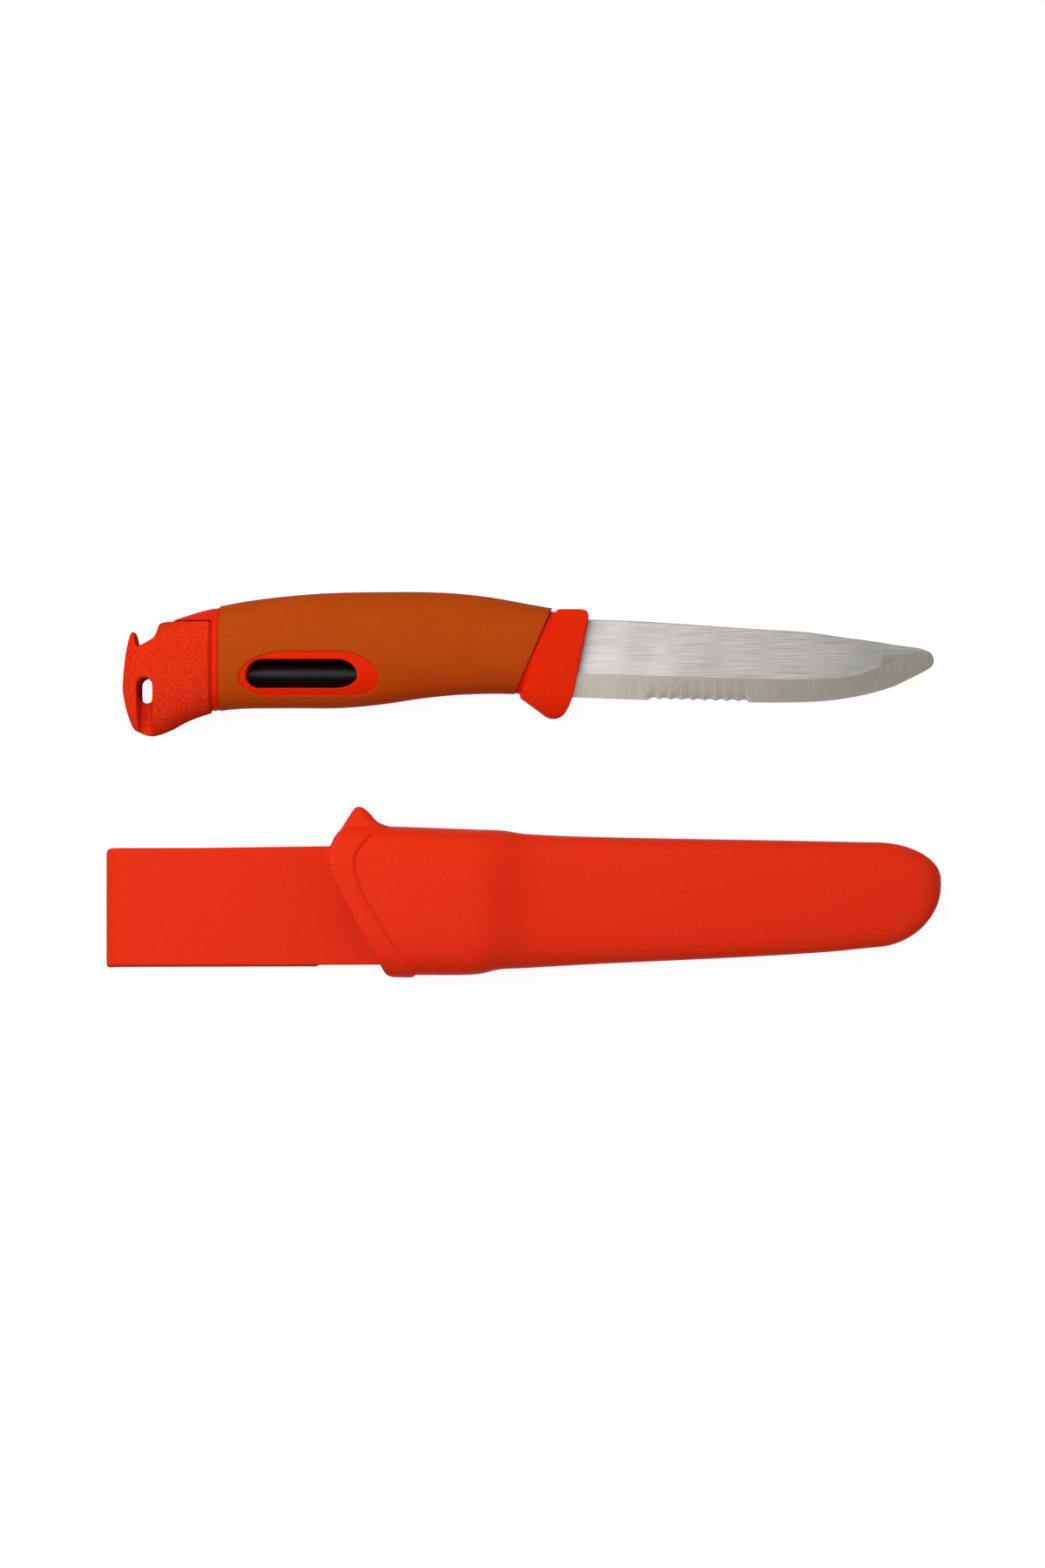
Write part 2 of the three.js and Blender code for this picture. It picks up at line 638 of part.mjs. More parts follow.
function makeShell() {
  const pocket = pocketLoft(0, mouthStart - overrun, sheathLength, gripSides);
  const hollow = pocketLoft(wall, mouthStart - 2 * overrun, sheathLength, coreSides);
  const edge = collarCurve(collarEdgeShares);
  const [head, foot] = [edge[0], edge[edge.length - 1]];
  const beyond = sheathLength + overrun;
  const infront = slab([
    ...edge,
    new THREE.Vector2(foot.x, foot.y - overrun), new THREE.Vector2(beyond, foot.y - overrun),
    new THREE.Vector2(beyond, head.y + overrun), new THREE.Vector2(head.x, head.y + overrun),
  ], -pocketDepth, 2 * pocketDepth);
  const band = [
    ...edge, ...collarCurve(collarFootShares).slice(1),
    ...collarCurve(collarCreaseShares), ...collarCurve(hornFrontShares).slice(0, -1),
  ];
  const flange = pocketLoft(-collarProud, mouthStart - overrun, mouthStart + collarSlant + overrun, gripSides)
    .intersect(slab(band, 0, 2 * pocketDepth));
  const hornLow = (pocketDepth - hornThickness) / 2;
  const hornTop = [...edge.slice(0, 4 * curveSteps), ...collarCurve(hornFrontShares).slice(0, -1)];
  const horn = roundedSlab(hornTop, hornLow, hornLow + hornThickness, hornRound);
  const plate = slab([
    new THREE.Vector2(platePlain, plateBottom), new THREE.Vector2(plateEnd, plateBottom),
    new THREE.Vector2(plateEnd, plateTop + plateFlare), new THREE.Vector2(mouthStart, plateTop + plateFlare),
    new THREE.Vector2(platePlain, plateTop),
  ], 0, wall);
  const foldCentre = -beltGap / 2;
  const fold = new THREE.Path();
  fold.absarc(foldRadius, foldCentre, foldRadius, Math.PI / 2, (3 * Math.PI) / 2);
  fold.absarc(foldRadius, foldCentre, beltGap / 2, (3 * Math.PI) / 2, Math.PI / 2, true);
  const corners = new THREE.Path();
  corners.absarc(foldCorner, armTop - foldCorner, foldCorner, Math.PI / 2, Math.PI);
  corners.absarc(foldCorner / 2, armBottom + foldCorner / 2, foldCorner / 2, Math.PI, (3 * Math.PI) / 2);
  corners.lineTo(platePlain + overrun, armBottom);
  corners.lineTo(platePlain + overrun, armTop);
  const clip = strip(fold.getPoints(curveSteps), armBottom, armTop)
    .add(strip(rectangle(foldRadius - seatGap, platePlain + seatGap, 0, wall), armBottom, armTop))
    .intersect(slab(corners.getPoints(cornerSteps), -pocketDepth, pocketDepth));
  const drainStart = sheathLength - drainBack;
  const drain = strip(
    rectangle(drainStart, drainStart + drainLength, -overrun, pocketDepth / 3),
    tipHeight - drainWidth / 2,
    tipHeight + drainWidth / 2,
  );
  return pocket.intersect(infront).add(flange).add(horn).subtract(hollow).add(plate).add(clip)
    .subtract(drain);
}

function makeArm() {
  const [low, high] = [-beltGap - wall, -beltGap];
  const profile = [
    ...rectangle(foldRadius + seatGap, armEnd, low, high).slice(0, 3),
    new THREE.Vector2(armEnd - ridgeLength / 2, high + ridgeHeight),
    new THREE.Vector2(armEnd - ridgeLength, high),
    new THREE.Vector2(foldRadius + seatGap, high),
  ];
  const plan = new THREE.Path();
  plan.absarc(armEnd - armCorner, armBottom + armCorner, armCorner, -Math.PI / 2, 0);
  plan.absarc(armEnd - armCorner, armTop - armCorner, armCorner, 0, Math.PI / 2);
  plan.lineTo(0, armTop);
  plan.lineTo(0, armBottom);
  return strip(profile, armBottom, armTop)
    .intersect(slab(plan.getPoints(cornerSteps), -pocketDepth, pocketDepth));
}

// Materials
function finish(color, roughness, metalness) {
  return new THREE.MeshStandardMaterial({ color, roughness, metalness });
}

const steel = finish(colours.steel, 0.35, 1);
const rodCoat = finish(colours.rod, 0.4, 0.2);
const redPlastic = finish(colours.red, 0.45, 0);
const orangeRubber = finish(colours.orange, 0.75, 0);

// Assembly
const knife = new THREE.Group();
knife.add(
  pieceOf('blade', makeBlade(), steel),
  pieceOf('handle_core', makeCore(), redPlastic),
  pieceOf('grip_sleeve', makeGrip(), orangeRubber),
  pieceOf('firesteel_rod', makeRod(), rodCoat),
  pieceOf('firesteel_cap', makeCap(), redPlastic),
);
knife.position.set(knifeAhead, knifeAside, gripThickness / 2);

// The sheath leans on the heel of its clip and on the first part of its back that the bench then meets
const sheath = new THREE.Group();
sheath.add(pieceOf('sheath_shell', makeShell(), redPlastic), pieceOf('clip_arm', makeArm(), redPlastic));
const heel = new THREE.Vector2(armEnd, -beltGap - wall);
const restSlopes = stationsBetween(tipStart - tipRound, sheathLength, gripStep / 4).map((along) => {
  const lowest = Math.min(...pocketRing(along, 0, gripSides).map((point) => point.z));
  return (lowest - heel.y) / (along - heel.x);
});
sheath.rotation.y = Math.atan(Math.min(...restSlopes));
sheath.position.z = -new THREE.Box3().setFromObject(sheath, true).min.z;

// Origin under the middle of the pair, on the bench
const pair = new THREE.Group();
pair.add(knife, sheath);
const bounds = new THREE.Box3().setFromObject(pair, true);
const middle = bounds.getCenter(new THREE.Vector3());
pair.position.set(-middle.x, -middle.y, -bounds.min.z);

export default pair;
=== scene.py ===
import json
import math

import bmesh
import bpy
import numpy as np
from mathutils import Matrix, Vector


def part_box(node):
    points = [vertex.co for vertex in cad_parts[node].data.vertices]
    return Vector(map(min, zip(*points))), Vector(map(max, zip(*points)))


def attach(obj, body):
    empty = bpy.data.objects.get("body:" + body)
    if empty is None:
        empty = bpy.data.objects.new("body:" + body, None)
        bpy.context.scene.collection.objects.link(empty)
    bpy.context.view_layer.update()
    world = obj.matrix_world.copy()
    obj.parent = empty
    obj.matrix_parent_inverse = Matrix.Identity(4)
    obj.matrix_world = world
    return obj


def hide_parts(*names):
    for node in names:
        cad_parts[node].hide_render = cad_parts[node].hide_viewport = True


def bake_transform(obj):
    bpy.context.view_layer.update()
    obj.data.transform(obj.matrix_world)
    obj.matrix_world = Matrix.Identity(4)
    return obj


# A rigging knife with a fire starter in its butt, lying beside the moulded belt sheath it is drawn from.
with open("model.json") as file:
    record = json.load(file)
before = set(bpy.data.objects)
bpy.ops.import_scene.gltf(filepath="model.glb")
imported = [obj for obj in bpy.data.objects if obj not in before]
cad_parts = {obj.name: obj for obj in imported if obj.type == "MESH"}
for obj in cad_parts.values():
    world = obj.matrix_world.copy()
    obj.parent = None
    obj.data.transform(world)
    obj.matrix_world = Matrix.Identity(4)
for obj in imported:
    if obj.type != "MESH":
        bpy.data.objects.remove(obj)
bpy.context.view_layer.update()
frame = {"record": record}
bpy.context.scene.view_settings.view_transform = "Standard"

# Blade
# A strip of stainless steel, 2.5 mm thick, ground flat along its length. The bevel and the nine scallops
# that bite into rope are ground crosswise to a fine edge. Its tang is moulded into the handle.
MM = 0.001
blade_tip = 233.2
blade_thickness = 2.5
blade_height = 24
blade_drop = 8.1
edge_thickness = 0.12
spine_chamfer = 0.2
flute_rise = 2.2
flute_steps = (0.3, 0.65, 1)
blade_root = 125
tang_back = 85
tang_rise = 11.4
tang_drop = 1.5
bevel_crisp_end = 218
scallop_start = 151.1
scallop_pitch = 3.24
scallop_depth = 0.8
scallop_count = 9
scallop_tooth_share = 0.3
scallop_steps = 20
plain_step = 1.5
belly_step = 1
tip_share = 0.975
tip_steps = 25
root_step = 0.1

# Seen from the side: places as shares of blade_tip, heights as shares of blade_height above the lowest edge
back_shares = [
    (0.53, 1), (0.58, 0.99), (0.64, 0.968), (0.772, 0.883), (0.823, 0.854), (0.849, 0.833), (0.888, 0.779),
    (0.926, 0.729), (0.952, 0.6875), (0.978, 0.654), (0.986, 0.637), (0.9935, 0.607), (0.9975, 0.575),
    (1, 0.52),
]
edge_shares = [
    (0.53, 0.065), (0.56, 0.06), (0.65, 0.029), (0.78, 0), (0.85, 0.008), (0.885, 0.04), (0.92, 0.104),
    (0.95, 0.19), (0.965, 0.258), (0.978, 0.321), (0.986, 0.36), (0.9935, 0.402), (0.9975, 0.432),
    (1, 0.47),
]
bevel_shares = [
    (0.53, 0.355), (0.56, 0.352), (0.78, 0.282), (0.85, 0.28), (0.9, 0.316), (0.935, 0.435), (0.965, 0.56),
    (0.984, 0.6), (1, 0.62),
]


def line_through(shares, length, height):
    """A smooth height along a line of (share of length, share of height) points."""
    points = np.array(shares) * (length, height)
    after = np.vstack([points[1:], points[-1:]])
    before = np.vstack([points[:1], points[:-1]])
    slopes = (after - before)[:, 1] / (after - before)[:, 0]

    def height_at(along):
        i = int(np.clip(np.searchsorted(points[:, 0], along), 1, len(points) - 1))
        start, end = points[i - 1], points[i]
        span = end[0] - start[0]
        t = min(max((along - start[0]) / span, 0), 1)
        late = t * t * (3 - 2 * t)
        leave = t * (1 - t) * (1 - t) * slopes[i - 1] * span
        arrive = t * t * (t - 1) * slopes[i] * span
        return start[1] * (1 - late) + end[1] * late + leave + arrive

    return height_at


def stations(start, end, step):
    """Evenly spaced places from start to end, about a step apart."""
    return list(np.linspace(start, end, max(math.ceil((end - start) / step), 1) + 1))


def loft(name, rings):
    """A closed solid over sections of equally many points that follow each other."""
    count, sides = len(rings), len(rings[0])
    faces = [list(range(sides)), list(range(count * sides - 1, (count - 1) * sides - 1, -1))]
    for base in range(0, (count - 1) * sides, sides):
        for k in range(sides):
            after = (k + 1) % sides
            faces.append([base + k, base + sides + k, base + sides + after, base + after])
    mesh = bpy.data.meshes.new(name)
    mesh.from_pydata([tuple(point) for ring in rings for point in ring], [], faces)
    turned = bmesh.new()
    turned.from_mesh(mesh)
    bmesh.ops.recalc_face_normals(turned, faces=turned.faces)
    turned.to_mesh(mesh)
    turned.free()
    piece = bpy.data.objects.new(name, mesh)
    bpy.context.scene.collection.objects.link(piece)
    return piece


def blade_section(along, top, edge, bevel_top, scallop):
    """Flat from the spine to the bevel line, then ground to the edge, which a scallop raises."""
    half, edge_half = blade_thickness / 2, edge_thickness / 2
    spine_half = min(half, half * (top - edge) / (bevel_top - edge))
    bevel = min(bevel_top, top - 2 * spine_chamfer)
    flute = min(edge + flute_rise, (edge + bevel) / 2)
    flute_half = edge_half + (spine_half - edge_half) * (flute - edge) / (bevel - edge)
    chamfer = min(spine_chamfer, (top - bevel) / 2)
    side = [(edge + scallop, edge_half)]
    for share in flute_steps:
        height = edge + scallop + (flute - edge - scallop) * share
        side.append((height, edge_half + (flute_half - edge_half) * share))
    side += [(bevel, spine_half), (top - chamfer, spine_half), (top, spine_half - chamfer)]
    ring = side + [(height, -out) for height, out in reversed(side)]
    return [(along, height - blade_drop, out) for height, out in ring]


def scallop_at(along):
    """Arches between pointed teeth, which stand back from the edge by a share of the scallops' depth."""
    place = (along - scallop_start) / scallop_pitch
    if not 0 < place < scallop_count:
        return 0
    arch = abs(math.sin(math.pi * place))
    if 0.5 < place < scallop_count - 0.5:
        arch = scallop_tooth_share + (1 - scallop_tooth_share) * arch
    return scallop_depth * arch


blade_back = line_through(back_shares, blade_tip, blade_height)
blade_edge = line_through(edge_shares, blade_tip, blade_height)
bevel_line = line_through(bevel_shares, blade_tip, blade_height)

scallop_end = scallop_start + scallop_pitch * scallop_count
tip_start = tip_share * blade_tip
tip_turns = np.linspace(0, math.pi / 2, tip_steps + 1)[1:]
places = [
    *stations(blade_root, scallop_start, plain_step),
    *stations(scallop_start, scallop_end, scallop_pitch / scallop_steps)[1:-1],
    *stations(scallop_end, tip_start, belly_step),
    *[tip_start + (blade_tip - tip_start) * math.sin(turn) for turn in tip_turns],
]
tang = [
    blade_section(along, tang_rise + blade_drop, blade_drop - tang_drop, tang_rise + blade_drop, 0)
    for along in (tang_back, blade_root - root_step)
]
blade = loft("knife_blade", tang + [
    blade_section(along, blade_back(along), blade_edge(along), bevel_line(along), scallop_at(along))
    for along in places
])

# The bevel line stays crisp up to the belly of the blade, the edge and the corners of the spine up to the
# tip, and the bevel has a surface of its own
section_size = len(tang[0])
bevel_row = 4
crisp_rows = {0: blade_tip, bevel_row: bevel_crisp_end, bevel_row + 1: blade_tip, bevel_row + 2: blade_tip}
mesh = blade.data
mesh.shade_smooth()
crisp = mesh.attributes.new("sharp_edge", "BOOLEAN", "EDGE")
for edge in mesh.edges:
    first, second = edge.vertices
    row = first % section_size
    reach = crisp_rows.get(min(row, section_size - 1 - row), 0)
    if row == second % section_size and mesh.vertices[first].co.x < reach:
        crisp.data[edge.index].value = True
tang_size = len(tang) * section_size
for face in mesh.polygons:
    rows = {v % section_size for v in face.vertices}
    rows = {min(row, section_size - 1 - row) for row in rows}
    face.material_index = 1 if max(rows) <= bevel_row and min(face.vertices) >= tang_size else 0

# The knife's own frame: along from the butt, up from the axis of the fire steel, out from the middle plane
rod_low, rod_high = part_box("firesteel_rod")
knife_origin = (rod_low + rod_high) / 2
knife_origin.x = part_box("blade")[1].x - blade_tip * MM
knife_place = Matrix.Translation(knife_origin) @ Matrix.Scale(MM, 4)
blade.data.transform(knife_place)
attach(blade, "knife")
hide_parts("blade")


def linear(code):
    """A hex sRGB colour as linear red, green, blue and alpha."""
    shares = [int(code[i:i + 2], 16) / 255 for i in (0, 2, 4)]
    return [s / 12.92 if s <= 0.04045 else ((s + 0.055) / 1.055) ** 2.4 for s in shares] + [1]


# Inputs go by name, and by number where the name would find another one. A Mix node's share is 0, its two
# colours are 6 and 7, and the mixed colour is its output 2.
def add(shader, kind, inputs, **settings):
    """Adds a node with its settings. Each input is a value or another node's output."""
    node = shader.node_tree.nodes.new("ShaderNode" + kind)
    for name, value in settings.items():
        setattr(node, name, value)
    for name, value in inputs.items():
        if isinstance(value, bpy.types.NodeSocket):
            shader.node_tree.links.new(value, node.inputs[name])
        else:
            node.inputs[name].default_value = value
    return node.outputs


def new_material(name):
    """A node material with no nodes yet."""
    material = bpy.data.materials.new(name)
    material.use_nodes = True
    material.node_tree.nodes.clear()
    return material


# In mm: paler and duller clouds where the grinding belt pressed more or less, and the depth of its scratches
belt_cloud = 14
scratch_depth = 0.004


def ground_steel(name, tint, dull, streak_size, contrast, turn):
    """Stainless steel ground on a belt: fine scratches side by side, which stretch what it mirrors."""
    steel = new_material(name)
    place = add(steel, "TexCoord", {})["Object"]
    stretch = [1 / (MM * size) for size in streak_size]
    scratched = add(steel, "Mapping", {"Vector": place, "Scale": stretch})[0]
    scratches = add(steel, "TexNoise", {"Vector": scratched, "Scale": 1, "Detail": 3, "Roughness": 0.6})[0]
    clouds = add(steel, "TexNoise", {"Vector": place, "Scale": 1 / (MM * belt_cloud), "Detail": 4})[0]
    toned = add(steel, "Mix", {0: clouds, 6: linear(tint), 7: linear(dull)}, data_type="RGBA")[2]
    lined = add(steel, "MapRange", {
        "Value": scratches, "From Min": 0.3, "From Max": 0.7, "To Min": 1 - contrast, "To Max": 1 + contrast,
    })[0]
    colour = add(
        steel, "Mix", {0: 1.0, 6: toned, 7: lined},
        data_type="RGBA", blend_type="MULTIPLY", clamp_result=True,
    )[2]
    rough = add(steel, "MapRange", {"Value": scratches, "To Min": 0.24, "To Max": 0.38})[0]
    relief = add(steel, "Bump", {"Height": scratches, "Distance": scratch_depth * MM, "Strength": 0.6})[0]
    along = add(steel, "Tangent", {}, direction_type="RADIAL", axis="X")[0]
    surface = add(steel, "BsdfPrincipled", {
        "Base Color": colour, "Metallic": 1, "Roughness": rough, "Normal": relief, "Tangent": along,
        "Anisotropic": 0.6, "Anisotropic Rotation": turn,
    })[0]
    add(steel, "OutputMaterial", {"Surface": surface})
    return steel


# Scratches are about 0.05 mm wide on the real blade and are drawn 0.25 mm wide, so that they show. The flats
# look brushed, and the bevel is paler, warmer and more even.
blade.data.materials.append(ground_steel(
    "stainless_ground_lengthwise", "AEABA7", "888684",
    streak_size=(14, 0.25, 0.25), contrast=0.28, turn=0.25,
))
blade.data.materials.append(ground_steel(
    "stainless_ground_crosswise", "D3CCC0", "C6BEB2",
    streak_size=(0.25, 6, 6), contrast=0.1, turn=0,
))

# Handle core
# One stiff red polypropylene moulding round the tang: the ring and tongue that the cap meets, the smooth
# surround of the window over the fire steel, the neck behind the guard, and the guard itself.
seat_gap = 0.3
handle_length = 134
spine_rise = 23.6
butt_drop = 18.6
grip_thickness = 23
grip_power = 2.5
grip_wall = 2.6
neck_width = 1.6
neck_depth = 0.9
recess = 0.4
guard_depth = 19.5
guard_height = 31.1
guard_drop = 12.8
guard_bevel = 2
guard_power = 3.4
rod_radius = 4.2
rod_front = 80.5
bore_end = 2
cap_length = 25.7
cap_rise = 15
cap_drop = 18
cap_gap = 0.7
gap_depth = 0.8
ring_length = 1.9
spigot_radius = 6.2
spigot_length = 5
handle_step = 0.8
round_power = 2
curve_steps = 8
arc_points = 16
rim_layers = 14

# Back, front, top, bottom and waist
window_edges = (36.3, 68, 4.1, -4.1, -0.6)
frame_edges = (34.2, 74, 6.3, -6.2, -1.5)

# Heights are shares of spine_rise above the axis and of butt_drop below it, half thicknesses are shares of
# half of grip_thickness
back_line_shares = [
    (-0.02, 0.43), (0.03, 0.535), (0.1, 0.645), (0.18, 0.785), (0.29, 0.905), (0.425, 0.98), (0.56, 1),
    (0.69, 0.992), (0.785, 0.94), (0.875, 0.85), (0.94, 0.79), (1.02, 0.76),
]
underside_shares = [
    (-0.02, 1), (0.06, 1), (0.09, 0.935), (0.112, 0.848), (0.14, 0.738), (0.18, 0.63), (0.235, 0.545),
    (0.35, 0.525), (0.47, 0.522), (0.56, 0.464), (0.65, 0.368), (0.74, 0.312), (0.84, 0.308), (1.02, 0.41),
]
flank_shares = [
    (-0.02, 0.4), (0, 0.55), (0.03, 0.76), (0.1, 0.86), (0.2, 0.92), (0.33, 0.98), (0.45, 1), (0.58, 0.985),
    (0.7, 0.915), (0.8, 0.88), (0.88, 0.89), (0.96, 0.95), (1.02, 0.98),
]
guard_top_shares = [(0.526, 0.985), (0.58, 1), (0.905, 1)]
guard_corner_shares = [(0.905, 1), (0.975, 0.98), (1, 0.93)]
guard_horn_shares = [
    (0.772, 0.213), (0.712, 0.115), (0.65, 0.048), (0.574, 0.012), (0.477, 0), (0.379, 0.019),
    (0.256, 0.076),
]
guard_heel_share = (-0.012, 0.2)

# Corner lengths as shares of the opening's length: back top, front top, front bottom, back bottom
window_corner_shares = (0.15, 0.19, 0.2, 0.12)
frame_corner_shares = (0.36, 0.3, 0.16, 0.22)


def curve_through(shares, width, height, left, bottom):
    """Points of a smooth curve through shares of a width and a height, measured from a corner."""
    points = np.array(shares) * (width, height) + (left, bottom)
    curve = []
    for i in range(len(points) - 1):
        start, end = points[i], points[i + 1]
        leave = (end - points[max(i - 1, 0)]) / 2
        arrive = (points[min(i + 2, len(points) - 1)] - start) / 2
        for t in np.linspace(0, 1, curve_steps, endpoint=False):
            bend = (3 * (end - start) - 2 * leave - arrive) * t * t
            curve.append(start + leave * t + bend + (2 * (start - end) + leave + arrive) * t ** 3)
    return [tuple(point) for point in [*curve, points[-1]]]


def oval(along, top, bottom, front, back, power, sides=96):
    """A rounded section across the length, from +Z over +Y round to -Z."""
    ring = []
    for turn in np.linspace(0, 2 * math.pi, sides, endpoint=False):
        up, out = math.sin(turn), math.cos(turn)
        up = math.copysign(abs(up) ** (2 / power), up)
        out = math.copysign(abs(out) ** (2 / power), out)
        y = (top + bottom) / 2 + (top - bottom) / 2 * up
        z = (front + back) / 2 + (front - back) / 2 * out
        ring.append((along, y, z))
    return ring


def slab(outline, low, high):
    """An outline in the plane of the blade, pushed through from low to high."""
    return loft("slab", [[(x, y, depth) for x, y in outline] for depth in (low, high)])


def bar(radius, start, end, chamfer=0.0):
    """A round bar on the axis of the fire steel."""
    profile = [(start + chamfer, radius), (end - chamfer, radius)]
    if chamfer:
        profile = [(start, radius - chamfer), *profile, (end, radius - chamfer)]
    return loft("bar", [oval(along, out, -out, out, -out, round_power) for along, out in profile])


def through(outline):
    """An outline pushed right through the handle, to cut it or to keep what lies inside."""
    return slab(outline, -grip_thickness, grip_thickness)


def box(left, right, bottom, top, low, high):
    """A square block between two places, two heights and two depths."""
    return slab([(left, bottom), (right, bottom), (right, top), (left, top)], low, high)


def rounded_slab(outline, low, high, rim):
    """A slab with rounded rims: layers that shrink towards the middle of the outline near both faces."""
    points = np.array(outline)
    middle = (points.max(axis=0) + points.min(axis=0)) / 2
    size = points.max(axis=0) - points.min(axis=0)
    layers = []
    for turn in np.linspace(-math.pi / 2, math.pi / 2, rim_layers):
        shrunk = middle + (points - middle) * (1 - 2 * rim * (1 - math.cos(turn)) / size)
        depth = (low + rim if turn < 0 else high - rim) + rim * math.sin(turn)
        layers.append([(x, y, depth) for x, y in shrunk])
    return loft("rounded_slab", layers)


def settle(piece):
    """Makes what a piece's modifiers show its own mesh."""
    shown = piece.evaluated_get(bpy.context.evaluated_depsgraph_get())
    mesh = bpy.data.meshes.new_from_object(shown)
    mesh.materials.clear()
    piece.modifiers.clear()
    piece.data = mesh


def shaped(how, piece, *others):
    """Joins others to a piece (UNION), cuts them off (DIFFERENCE) or keeps what they share (INTERSECT)."""
    for other in others:
        step = piece.modifiers.new(how, "BOOLEAN")
        step.operation = how
        step.solver = "MANIFOLD"
        step.object = other
    settle(piece)
    for other in others:
        bpy.data.objects.remove(other)
    return piece


def moulded(name, piece, place, voxel, rounds, kept):
    """Rounds all edges as a moulding tool leaves them, and puts the piece where it lies."""
    skin = piece.modifiers.new("skin", "REMESH")
    skin.mode = "VOXEL"
    skin.voxel_size = voxel
    soft = piece.modifiers.new("soft", "SMOOTH")
    soft.factor = 0.5
    soft.iterations = rounds
    fewer = piece.modifiers.new("fewer", "DECIMATE")
    fewer.ratio = kept
    settle(piece)
    piece.name = name
    piece.data.transform(place)
    piece.data.shade_smooth()
    return piece


def quarter(middle_x, middle_y, across, up, start):
    """A quarter of an ellipse, clockwise from a start angle in degrees."""
    turns = [math.radians(start - step) for step in np.linspace(0, 90, arc_points)]
    return [(middle_x + across * math.cos(turn), middle_y + up * math.sin(turn)) for turn in turns]


def opening(edges, corner_shares, gap=0.0):
    """An oval opening of four elliptical quarters and the straights between them, widened by a gap."""
    back, front, top, bottom, waist = edges
    back, front, top, bottom = back - gap, front + gap, top + gap, bottom - gap
    back_top, front_top, front_bottom, back_bottom = [share * (front - back) for share in corner_shares]
    return [
        *quarter(back + back_top, waist, back_top, top - waist, 180),
        *quarter(front - front_top, waist, front_top, top - waist, 90),
        *quarter(front - front_bottom, waist, front_bottom, waist - bottom, 0)[1:],
        *quarter(back + back_bottom, waist, back_bottom, waist - bottom, -90)[:-1],
    ]


back_line = line_through(back_line_shares, handle_length, spine_rise)
underside = line_through(underside_shares, handle_length, -butt_drop)
flank = line_through(flank_shares, handle_length, grip_thickness / 2)


def handle_loft(start, end, inset=0.0, rise=None):
    """The surface that cap, core and grip share, or one inset below it. Its underside can rise by less."""
    rise = inset if rise is None else rise
    rings = []
    for along in stations(start, end, handle_step):
        top, bottom = back_line(along) - inset, underside(along) + rise
        half = flank(along) - inset
        rings.append(oval(along, top, bottom, half, -half, grip_power))
    return loft("handle", rings)


# The slanted line where the grip ends and the neck and the guard begin
guard_back = handle_length - guard_depth
crest_top = guard_top_shares[0]
crest_lean = (crest_top[0] - guard_heel_share[0]) * guard_depth
crest_lean /= (crest_top[1] - guard_heel_share[1]) * guard_height


def crest(height, offset):
    """Where that line is at a height, moved back by an offset."""
    from_top = height + guard_drop - crest_top[1] * guard_height
    return guard_back + crest_top[0] * guard_depth + from_top * crest_lean - offset


def behind_crest(start, offset):
    """Everything behind that line, which an offset moves back."""
    top, bottom = 2 * spine_rise, -2 * butt_drop
    outline = [(start, bottom), (crest(bottom, offset), bottom), (crest(top, offset), top), (start, top)]
    return through(outline)


ring_start = cap_length + cap_gap
ring_end = ring_start + ring_length
core = handle_loft(ring_end - seat_gap, handle_length - guard_depth / 4, grip_wall)
ring = handle_loft(ring_start, ring_end, recess)
tongue = shaped(
    "INTERSECT", handle_loft(0, ring_start + seat_gap, recess / 2),
    box(0, ring_end, cap_rise + seat_gap, spine_rise, -grip_thickness, grip_thickness),
)
neck_back = guard_back - guard_depth / 2
neck = shaped(
    "INTERSECT", handle_loft(neck_back, handle_length, neck_depth, recess / 2),
    behind_crest(neck_back, -neck_width),
)
neck = shaped("DIFFERENCE", neck, behind_crest(0, neck_width))
window_frame = shaped(
    "INTERSECT", handle_loft(frame_edges[0] - seat_gap, frame_edges[1] + seat_gap, recess),
    through(opening(frame_edges, frame_corner_shares, seat_gap)),
)
guard_box = (guard_depth, guard_height, guard_back, -guard_drop)
guard_outline = [
    *curve_through(guard_top_shares, *guard_box), *curve_through(guard_corner_shares, *guard_box)[1:],
    *curve_through(guard_horn_shares, *guard_box), *curve_through([guard_heel_share], *guard_box),
]
guard_half = grip_thickness / 2
guard_side = guard_half + guard_bevel / 2
guard = shaped(
    "INTERSECT",
    loft("guard", [
        oval(along, spine_rise, -guard_drop - guard_bevel, guard_half, -guard_half, guard_power)
        for along in (guard_back - seat_gap, handle_length + seat_gap)
    ]),
    rounded_slab(guard_outline, -guard_side, guard_side, guard_bevel),
)
core = shaped("UNION", core, ring, tongue, neck, window_frame, guard)
blade_half = blade_thickness / 2 + seat_gap / 2
root_top = blade_back(blade_root) - blade_drop + seat_gap / 2
root_bottom = blade_edge(blade_root) - blade_drop - seat_gap / 2
tang_low, tang_high = -tang_drop - seat_gap, tang_rise + seat_gap
past_guard = handle_length * 1.1
core = shaped(
    "DIFFERENCE", core, through(opening(window_edges, window_corner_shares)),
    bar(spigot_radius + seat_gap, ring_start - 2 * cap_gap, cap_length + spigot_length + seat_gap),
    bar(rod_radius + seat_gap, ring_start, rod_front + bore_end),
    box(tang_back - seat_gap, blade_root, tang_low, tang_high, -blade_half, blade_half),
    box(blade_root - seat_gap, past_guard, root_bottom, root_top, -blade_half, blade_half),
)
core = moulded("handle_moulding", core, knife_place, voxel=0.3, rounds=4, kept=0.4)
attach(core, "knife")
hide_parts("handle_core")


# How much rougher and smoother moulded plastic gets with its grain
grain_spread = 0.08


